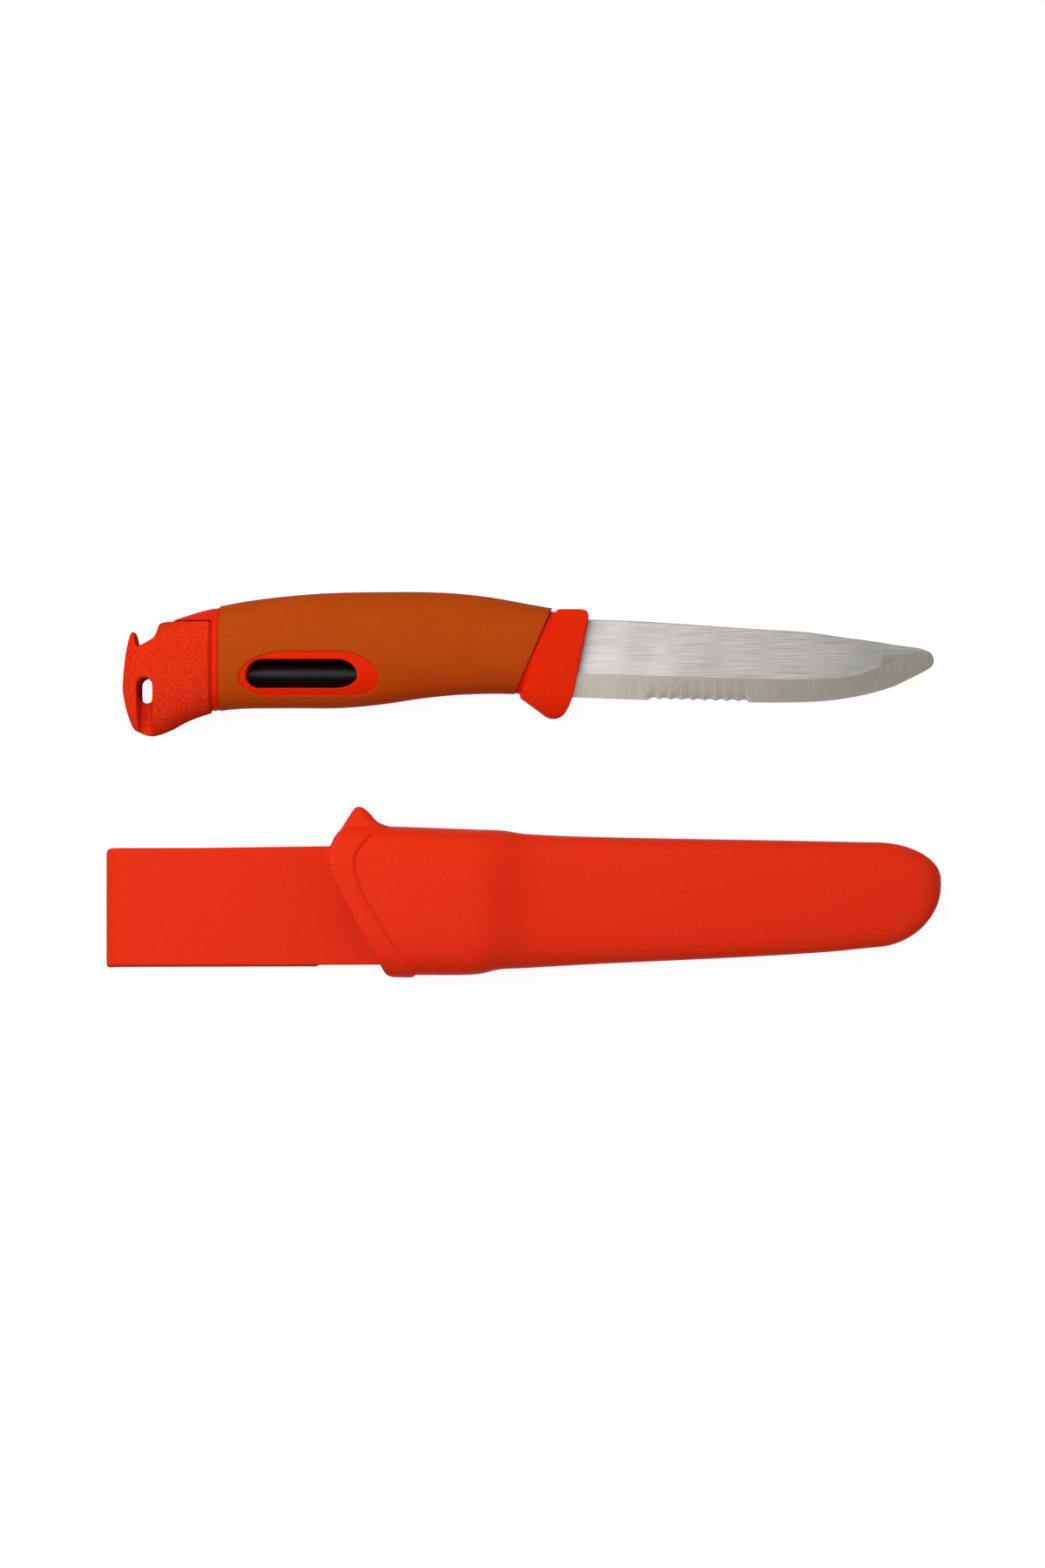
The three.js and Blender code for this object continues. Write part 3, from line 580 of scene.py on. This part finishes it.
def polypropylene(name, tint, shade, patch, grain, depth, roughness, gloss):
    """Moulded polypropylene: its colour varies in patches, and the mould's spark erosion leaves a grain."""
    plastic = new_material(name)
    place = add(plastic, "TexCoord", {})["Object"]
    grains = add(plastic, "TexNoise", {
        "Vector": place, "Scale": 1 / (MM * grain), "Detail": 2, "Roughness": 0.6,
    })[0]
    flow = add(plastic, "TexNoise", {"Vector": place, "Scale": 1 / (MM * patch), "Detail": 2})[0]
    flowed = add(plastic, "MapRange", {"Value": flow, "From Min": 0.35, "From Max": 0.65})[0]
    colour = add(plastic, "Mix", {0: flowed, 6: linear(tint), 7: linear(shade)}, data_type="RGBA")[2]
    rough = add(plastic, "MapRange", {
        "Value": grains, "To Min": roughness - grain_spread, "To Max": roughness + grain_spread,
    })[0]
    relief = add(plastic, "Bump", {"Height": grains, "Distance": depth * MM, "Strength": 1})[0]
    surface = add(plastic, "BsdfPrincipled", {
        "Base Color": colour, "Roughness": rough, "Normal": relief, "IOR": 1.49, "Specular IOR Level": gloss,
    })[0]
    add(plastic, "OutputMaterial", {"Surface": surface})
    return plastic


# The core's mould is nearly smooth, which gives an even satin red
core.data.materials.append(polypropylene(
    "polypropylene_satin", "E62704", "E22402",
    patch=0.9, grain=0.5, depth=0.02, roughness=0.5, gloss=0.04,
))

# Grip
# A soft skin of thermoplastic rubber, 2.3 mm thick, moulded over the core between the ring and the neck.
# It stops at the window's surround, and its matte, fine grain keeps a wet hand from slipping.
grip_depth = grip_wall - seat_gap
grip = shaped("INTERSECT", handle_loft(ring_end, handle_length), behind_crest(0, neck_width))
grip = shaped(
    "DIFFERENCE", grip,
    handle_loft(ring_end - cap_gap, handle_length + cap_gap, grip_depth),
    through(opening(frame_edges, frame_corner_shares)),
)
grip = moulded("grip_skin", grip, knife_place, voxel=0.3, rounds=4, kept=0.4)
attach(grip, "knife")
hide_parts("grip_sleeve")

# Thermoplastic rubber has no gloss: its skin is dull and finely grained, and its tone varies a little
rubber_grain = 0.45
rubber_grain_depth = 0.03
rubber_bloom = 9
rubber = new_material("thermoplastic_rubber_matte")
place = add(rubber, "TexCoord", {})["Object"]
grains = add(rubber, "TexNoise", {
    "Vector": place, "Scale": 1 / (MM * rubber_grain), "Detail": 3, "Roughness": 0.65,
})[0]
bloom = add(rubber, "TexNoise", {"Vector": place, "Scale": 1 / (MM * rubber_bloom), "Detail": 4})[0]
bloomed = add(rubber, "MapRange", {"Value": bloom, "From Min": 0.3, "From Max": 0.7})[0]
toned = add(rubber, "Mix", {0: bloomed, 6: linear("BA4500"), 7: linear("B44200")}, data_type="RGBA")[2]
specks = add(rubber, "MapRange", {
    "Value": grains, "From Min": 0.3, "From Max": 0.7, "To Min": 0.91, "To Max": 1.09,
})[0]
colour = add(rubber, "Mix", {0: 1.0, 6: toned, 7: specks}, data_type="RGBA", blend_type="MULTIPLY")[2]
relief = add(rubber, "Bump", {"Height": grains, "Distance": rubber_grain_depth * MM, "Strength": 1})[0]
surface = add(rubber, "BsdfPrincipled", {
    "Base Color": colour, "Roughness": 0.72, "Normal": relief, "IOR": 1.5, "Specular IOR Level": 0.1,
})[0]
add(rubber, "OutputMaterial", {"Surface": surface})
grip.data.materials.append(rubber)

# Fire steel
# A rod of ferrocerium, 8.4 mm across, pressed into the cap. Its black lacquer is smooth and dark with thin
# lengthwise marks, and it shows through the window of the handle.
rod_back = 11.5
rod_chamfer = 0.6
rod_crisp_angle = 30
rod = bar(rod_radius, rod_back, rod_front, rod_chamfer)
rod.name = "fire_steel"
rod.data.transform(knife_place)
rod.data.shade_smooth()
rod.data.set_sharp_from_angle(angle=math.radians(rod_crisp_angle))
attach(rod, "firesteel")
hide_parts("firesteel_rod")

# Lacquer over ferrocerium: nearly black, with a gleam broken up by marks 5 mm long and 0.3 mm wide
mark_size = (5, 0.3, 0.3)
mark_depth = 0.03
lacquer = new_material("lacquered_ferrocerium")
place = add(lacquer, "TexCoord", {})["Object"]
drawn = add(lacquer, "Mapping", {"Vector": place, "Scale": [1 / (MM * size) for size in mark_size]})[0]
marks = add(lacquer, "TexNoise", {"Vector": drawn, "Scale": 1, "Detail": 3})[0]
colour = add(lacquer, "Mix", {0: marks, 6: linear("030304"), 7: linear("0C0C0E")}, data_type="RGBA")[2]
rough = add(lacquer, "MapRange", {"Value": marks, "To Min": 0.3, "To Max": 0.45})[0]
relief = add(lacquer, "Bump", {"Height": marks, "Distance": mark_depth * MM, "Strength": 1})[0]
surface = add(lacquer, "BsdfPrincipled", {
    "Base Color": colour, "Roughness": rough, "Normal": relief, "IOR": 1.5, "Specular IOR Level": 0.2,
})[0]
add(lacquer, "OutputMaterial", {"Surface": surface})
rod.data.materials.append(lacquer)

# Cap
# The red polypropylene grip of the fire steel, which closes the butt of the handle. It has a hooked notch
# for a finger, a spigot that snaps into the handle, and a slot with a groove on both sides for a lanyard.
slot_back = 5.2
slot_front = 9.5
slot_top = -1.2
slot_bottom = -8.4
groove_spread = 0.6
groove_floor = 2.7
groove_web = 4.8
groove_rim = 6
butt_spare = 2.5

# Outline: hook, prong, butt and heel, as shares of cap_length and of cap_rise and cap_drop together
hook_shares = [
    (0.5, 1), (0.458, 1.008), (0.43, 0.985), (0.4, 0.89), (0.362, 0.85), (0.29, 0.817), (0.205, 0.782),
]
prong_shares = [(0.18, 0.785), (0.168, 0.845), (0.157, 0.89), (0.135, 0.912), (0.112, 0.9), (0.099, 0.855)]
butt_shares = [
    (0.099, 0.855), (0.066, 0.704), (0.041, 0.503), (0.038, 0.39), (0.076, 0.24), (0.134, 0.1),
    (0.173, 0.052),
]
heel_shares = [(0.258, 0.018), (0.335, 0.006), (0.44, 0.024), (0.55, 0.058)]

cap_box = (cap_length, cap_rise + cap_drop, 0, -cap_drop)
shoulder_end = ring_start - seat_gap / 2
cap_foot = -1.5 * cap_drop
cap_outline = [
    (shoulder_end, cap_rise),
    *curve_through(hook_shares, *cap_box), *curve_through(prong_shares, *cap_box),
    *curve_through(butt_shares, *cap_box)[1:], *curve_through(heel_shares, *cap_box),
    (shoulder_end, cap_foot),
]
slot_round = (slot_front - slot_back) / 2
slot_middle = slot_back + slot_round
slot_high, slot_low = slot_top - slot_round, slot_bottom + slot_round


def half_round(height, radius, start):
    """Half a circle round the middle of the slot, clockwise from a start angle in degrees."""
    first = quarter(slot_middle, height, radius, radius, start)
    return first + quarter(slot_middle, height, radius, radius, start - 90)[1:]


def groove_layer(reach, depth):
    """A groove's outline: round above the slot, and straight down past the butt."""
    feet = [(slot_middle + reach, cap_foot), (slot_middle - reach, cap_foot)]
    return [(x, y, depth) for x, y in half_round(slot_high, reach, 180) + feet]


def groove(side):
    """One groove: drafted walls, and a floor that curves out to the foot of the butt."""
    inside, outside = side * groove_web / 2, side * grip_thickness / 2
    walls = [groove_layer(groove_floor / 2, inside), groove_layer(slot_round + groove_spread, outside)]
    floor = [
        (0, groove_web / 2),
        *quarter(slot_bottom, groove_rim, cap_drop + slot_bottom, groove_rim - groove_web / 2, -90),
        (-cap_drop, grip_thickness), (0, grip_thickness),
    ]
    reach = [[(along, height, side * out) for height, out in floor] for along in (0, cap_length / 2)]
    return shaped("INTERSECT", loft("groove", walls), loft("groove_floor", reach))


spigot_end = cap_length + spigot_length
past_spigot = spigot_end * 1.1
cap = shaped(
    "UNION", handle_loft(-butt_spare, cap_length), handle_loft(cap_length - cap_gap, ring_start, gap_depth),
)
cap = shaped("INTERSECT", cap, through(cap_outline))
cap = shaped("UNION", cap, bar(spigot_radius, rod_back, spigot_end, rod_chamfer))
cap = shaped(
    "DIFFERENCE", cap, bar(rod_radius + seat_gap, rod_back - seat_gap, past_spigot),
    through(half_round(slot_high, slot_round, 180) + half_round(slot_low, slot_round, 0)),
    groove(1), groove(-1),
)
cap = moulded("fire_steel_cap", cap, knife_place, voxel=0.25, rounds=5, kept=0.6)
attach(cap, "firesteel")
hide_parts("firesteel_cap")

# The cap's grain is coarser than the core's: light and dark specks about half a millimetre wide, no gloss.
# The specks are painted light: the light ones are painted glints and the dark ones painted shade off the
# grain's facets, in place of the gloss
cap.data.materials.append(polypropylene(
    "polypropylene_coarse_grain_painted_glints", "EC3C1F", "CF2206",
    patch=0.4, grain=0.6, depth=0.05, roughness=0.6, gloss=0,
))

# Sheath
# One red polypropylene moulding: a pocket that narrows to the blade, a slanted collar round its mouth with
# a horn for the thumb, and a back plate that folds back behind itself as a belt clip, sprung by its fold.
sheath_length = 239.9
pocket_rise = 23.8
pocket_drop = 19
pocket_depth = 28.6
pocket_power = 3.4
wall = 2.2
tip_round = 18.2
tip_height = 7.5
tip_power = 6
tip_reach = 80
tip_rings = 24
pocket_step = 1
pocket_spare = 6
drain_back = 16
drain_length = 7
drain_width = 4
drain_spare = 6
mouth_start = 64
collar_slant = 24.5
collar_height = 48.3
collar_drop = 19.2
collar_proud = 0.8
horn_thickness = 16
horn_round = 4
horn_root = 24
horn_blend = 5
horn_reach = 0.7
horn_rounds = 30
horn_spans = 4
belt_gap = 5.6
plate_top = 16.9
plate_bottom = -16.6
plate_flare = 0.7
plate_end = 106
plate_plain = 7.7
arm_top = 17
arm_bottom = -17.4
arm_end = 62.7
arm_corner = 3
ridge_height = 0.9
ridge_length = 5
fold_corner = 1.6
fold_steps = 40
past_side = 1

# Pocket seen from the front and from the side, as shares of sheath_length and of its height or depth
pocket_top_shares = [
    (0.24, 1), (0.34, 0.983), (0.445, 0.945), (0.472, 0.934), (0.5, 0.892), (0.59, 0.853), (0.8, 0.811),
    (0.93, 0.785), (1, 0.775),
]
pocket_bottom_shares = [
    (0.24, 1), (0.37, 0.992), (0.44, 0.985), (0.468, 0.915), (0.496, 0.9), (0.59, 0.84), (0.755, 0.75),
    (0.86, 0.675), (0.93, 0.595), (1, 0.55),
]
pocket_front_shares = [
    (0.24, 1), (0.42, 1), (0.45, 0.98), (0.474, 0.91), (0.495, 0.845), (0.52, 0.805), (0.58, 0.765),
    (1, 0.674),
]
pocket_back_shares = [(0.24, 0), (0.45, 0), (0.51, 0.07), (1, 0.11)]

# Collar: outer edge from the horn down, and the crease where it meets the pocket
collar_edge_shares = [
    (0.33, 1), (0.285, 0.988), (0.205, 0.929), (0.13, 0.868), (0.045, 0.803), (-0.005, 0.717),
    (-0.012, 0.651), (0.07, 0.55), (0.21, 0.408), (0.403, 0.226), (0.56, 0.089), (0.64, 0.02), (0.722, 0),
]
collar_foot_shares = [(0.722, 0), (0.945, -0.002), (0.985, 0.02)]
collar_crease_shares = [
    (0.965, 0.035), (0.8, 0.13), (0.653, 0.241), (0.5, 0.367), (0.357, 0.494), (0.276, 0.617),
    (0.265, 0.701), (0.347, 0.777), (0.48, 0.843), (0.653, 0.884),
]
horn_front_shares = [(0.653, 0.889), (0.551, 0.911), (0.459, 0.962), (0.385, 0.993), (0.33, 1)]

pocket_top = line_through(pocket_top_shares, sheath_length, pocket_rise)
pocket_bottom = line_through(pocket_bottom_shares, sheath_length, -pocket_drop)
pocket_front = line_through(pocket_front_shares, sheath_length, pocket_depth)
pocket_back = line_through(pocket_back_shares, sheath_length, pocket_depth)
round_start = sheath_length - tip_round


def pocket_loft(inset, start, end):
    """The pocket's outside, or the hollow inset in it, which closes to a round end over its last stretch."""
    places = stations(start, min(end, round_start), pocket_step)
    if end > round_start:
        turns = np.linspace(0, math.radians(tip_reach), tip_rings)[1:]
        places += [round_start + (tip_round - inset) * math.sin(turn) for turn in turns]
    rings = []
    for along in places:
        closing = max(along - round_start, 0) / (tip_round - inset)
        narrow = math.sqrt(1 - closing ** 2)
        thin = math.sqrt(1 - closing ** tip_power)
        top = tip_height + (pocket_top(along) - inset - tip_height) * narrow
        bottom = tip_height + (pocket_bottom(along) + inset - tip_height) * narrow
        middle = (pocket_front(along) + pocket_back(along)) / 2
        half = ((pocket_front(along) - pocket_back(along)) / 2 - inset) * thin
        rings.append(oval(along, top, bottom, middle + half, middle - half, pocket_power))
    return loft("pocket", rings)


def across(profile, low, high):
    """A profile of lengths and depths, pushed along the height of the sheath from low to high."""
    return loft("strip", [[(along, height, out) for along, out in profile] for height in (low, high)])


collar_box = (collar_slant, collar_height, mouth_start, -collar_drop)
collar_edge = curve_through(collar_edge_shares, *collar_box)
collar_end = mouth_start + collar_slant
horn_front = curve_through(horn_front_shares, *collar_box)[:-1]
horn_back = collar_edge[:horn_spans * curve_steps]
beyond = 1.05 * sheath_length
mouth_foot, mouth_head = 2 * -collar_drop, 2 * pocket_rise
in_front = slab([
    *collar_edge, (collar_edge[-1][0], mouth_foot), (beyond, mouth_foot), (beyond, mouth_head),
    (collar_edge[0][0], mouth_head),
], -pocket_depth, 2 * pocket_depth)
band = slab([
    *collar_edge, *curve_through(collar_foot_shares, *collar_box)[1:],
    *curve_through(collar_crease_shares, *collar_box), *horn_front,
], 0, 2 * pocket_depth)
pocket_start = mouth_start - pocket_spare
flange = shaped("INTERSECT", pocket_loft(-collar_proud, pocket_start, collar_end + pocket_spare), band)
horn_low = (pocket_depth - horn_thickness) / 2
horn = rounded_slab([*horn_back, *horn_front], horn_low, horn_low + horn_thickness, horn_round)
plate = slab([
    (plate_plain, plate_bottom), (plate_end, plate_bottom), (plate_end, plate_top + plate_flare),
    (mouth_start, plate_top + plate_flare), (plate_plain, plate_top),
], 0, wall)

# The clip: a half round fold and the arm behind it, with a ridge at its end that keeps the belt in
fold_radius = belt_gap / 2 + wall
fold_centre = -belt_gap / 2
fold_turns = np.linspace(math.pi / 2, 3 * math.pi / 2, fold_steps)


def fold_arc(radius, turns):
    """An arc round the middle of the fold, in the sheath's length and depth."""
    return [(fold_radius + radius * math.cos(turn), fold_centre + radius * math.sin(turn)) for turn in turns]


clip = across([
    *fold_arc(fold_radius, fold_turns),
    (arm_end, -belt_gap - wall), (arm_end, -belt_gap),
    (arm_end - ridge_length / 2, -belt_gap + ridge_height), (arm_end - ridge_length, -belt_gap),
    *fold_arc(belt_gap / 2, reversed(fold_turns)),
    (plate_plain + seat_gap, 0), (plate_plain + seat_gap, wall),
], arm_bottom, arm_top)

# The fold is as low as the plate in front and as low as the arm behind
fold_side = box(
    -past_side, plate_plain + seat_gap, arm_bottom - past_side, plate_bottom, fold_centre, 2 * wall,
)
clip = shaped("DIFFERENCE", clip, fold_side)
clip = shaped("INTERSECT", clip, slab([
    *quarter(fold_corner, arm_top - fold_corner, fold_corner, fold_corner, 180),
    *quarter(arm_end - arm_corner, arm_top - arm_corner, arm_corner, arm_corner, 90),
    *quarter(arm_end - arm_corner, arm_bottom + arm_corner, arm_corner, arm_corner, 0),
    *quarter(fold_corner / 2, arm_bottom + fold_corner / 2, fold_corner / 2, fold_corner / 2, -90),
], -pocket_depth, pocket_depth))
drain_start = sheath_length - drain_back
drain_end = drain_start + drain_length
drain_low, drain_high = -drain_spare, pocket_depth / 3
drain = across(
    [(drain_start, drain_low), (drain_end, drain_low), (drain_end, drain_high), (drain_start, drain_high)],
    tip_height - drain_width / 2, tip_height + drain_width / 2,
)
sheath = shaped("INTERSECT", pocket_loft(0, pocket_start, sheath_length), in_front)
sheath = shaped("UNION", sheath, flange, horn)
sheath = shaped("DIFFERENCE", sheath, pocket_loft(wall, pocket_start - pocket_spare, sheath_length))
sheath = shaped("UNION", sheath, plate, clip)
sheath = shaped("DIFFERENCE", sheath, drain)

# The sheath's own frame: along from the fold, up from the middle of the plate, out from its back
belt_face = next(mount for mount in frame["record"]["mounts"] if mount["name"] == "belt_face")
belt_face_along = 30
outward = -Vector(belt_face["axis"]).normalized()
lengthwise = Vector((outward.z, 0, -outward.x))
sheath_origin = Vector(belt_face["pos_m"]) - lengthwise * belt_face_along * MM
lean = Matrix.Rotation(math.atan2(outward.x, outward.z), 4, "Y")
sheath_place = Matrix.Translation(sheath_origin) @ lean @ Matrix.Scale(MM, 4)
sheath = moulded("sheath_moulding", sheath, sheath_place, voxel=0.4, rounds=4, kept=0.3)

# The horn grows out of the collar without an edge
near_horn = sheath.vertex_groups.new(name="near_horn")
to_sheath = sheath_place.inverted()
for vertex in sheath.data.vertices:
    along, height, depth = to_sheath @ vertex.co
    near = 1 - abs(height - horn_root) / horn_blend
    if near > 0 and mouth_start < along < mouth_start + collar_slant * horn_reach:
        near_horn.add([vertex.index], near, "REPLACE")
blended = sheath.modifiers.new("blended", "SMOOTH")
blended.vertex_group = near_horn.name
blended.iterations = horn_rounds
settle(sheath)
sheath.data.shade_smooth()
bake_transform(sheath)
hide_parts("sheath_shell", "clip_arm")

# The sheath's mould has a fine, shallow grain: an even red, a little lighter than the core
sheath.data.materials.append(polypropylene(
    "polypropylene_fine_grain", "EE3315", "EA3012",
    patch=0.9, grain=0.5, depth=0.02, roughness=0.5, gloss=0.04,
))

# Bench, light and camera
# A pale matte bench top under two soft windows of light, a large one at the upper left and a weaker one
# overhead, with even light from all round, seen from straight above.
bench_radius = 3000
bench_thickness = 20
bench_drop = 0.05
bench_sides = 64
bench_turns = np.linspace(0, 2 * math.pi, bench_sides + 1)[1:]
bench = loft("bench_top", [
    [(bench_radius * math.cos(turn), bench_radius * math.sin(turn), depth) for turn in bench_turns]
    for depth in (-bench_thickness, -bench_drop)
])
bench.data.transform(Matrix.Scale(MM, 4))

# Matte paint: white to the eye and in reflections, with the shadow on it, but it lights the knife from below
# only as a mid grey would
paint = new_material("matte_white_paint")
rays = add(paint, "LightPath", {})
seen = add(paint, "Math", {0: rays["Is Camera Ray"], 1: rays["Is Glossy Ray"]}, operation="MAXIMUM")[0]
seen = add(paint, "Math", {0: seen, 1: rays["Is Transmission Ray"]}, operation="MAXIMUM")[0]
matte = add(paint, "BsdfDiffuse", {"Color": linear("909090")})[0]
dim = add(paint, "BsdfDiffuse", {"Color": linear("808080")})[0]
glow = add(paint, "Emission", {"Color": linear("FFFFFF"), "Strength": 0.89})[0]
bright = add(paint, "AddShader", {0: dim, 1: glow})[0]
surface = add(paint, "MixShader", {0: seen, 1: matte, 2: bright})[0]
add(paint, "OutputMaterial", {"Surface": surface})
bench.data.materials.append(paint)


def soft_window(name, place, target, size, power):
    """A square soft box that faces a target."""
    lamp = bpy.data.lights.new(name, "AREA")
    lamp.size = size
    lamp.energy = power
    box_of_light = bpy.data.objects.new(name, lamp)
    box_of_light.location = place
    box_of_light.rotation_euler = (Vector(target) - Vector(place)).to_track_quat("-Z", "Y").to_euler()
    bpy.context.scene.collection.objects.link(box_of_light)


soft_window("window_upper_left", place=(-0.26, 0.26, 0.48), target=(0, 0, 0), size=0.45, power=1.95)
soft_window("window_overhead", place=(-0.11, 0.03, 0.9), target=(0, 0, 0), size=0.25, power=1.1)

room = bpy.data.worlds.new("room")
room.use_nodes = True
room.node_tree.nodes.clear()
even = add(room, "Background", {"Color": linear("FFFFFF"), "Strength": 0.42})[0]
add(room, "OutputWorld", {"Surface": even})
bpy.context.scene.world = room

# The view takes in 450 mm of the bench over the 1800 rows of the picture
view_height = 1.112
view_span = 0.45
view_depth = 0.012
view_middle = (-0.0003, -0.0001)
camera_data = bpy.data.cameras.new("overhead")
camera_data.sensor_width = 36
camera_data.lens = camera_data.sensor_width * (view_height - view_depth) / view_span
camera = bpy.data.objects.new("overhead", camera_data)
camera.location = (*view_middle, view_height)
bpy.context.scene.collection.objects.link(camera)
bpy.context.scene.camera = camera
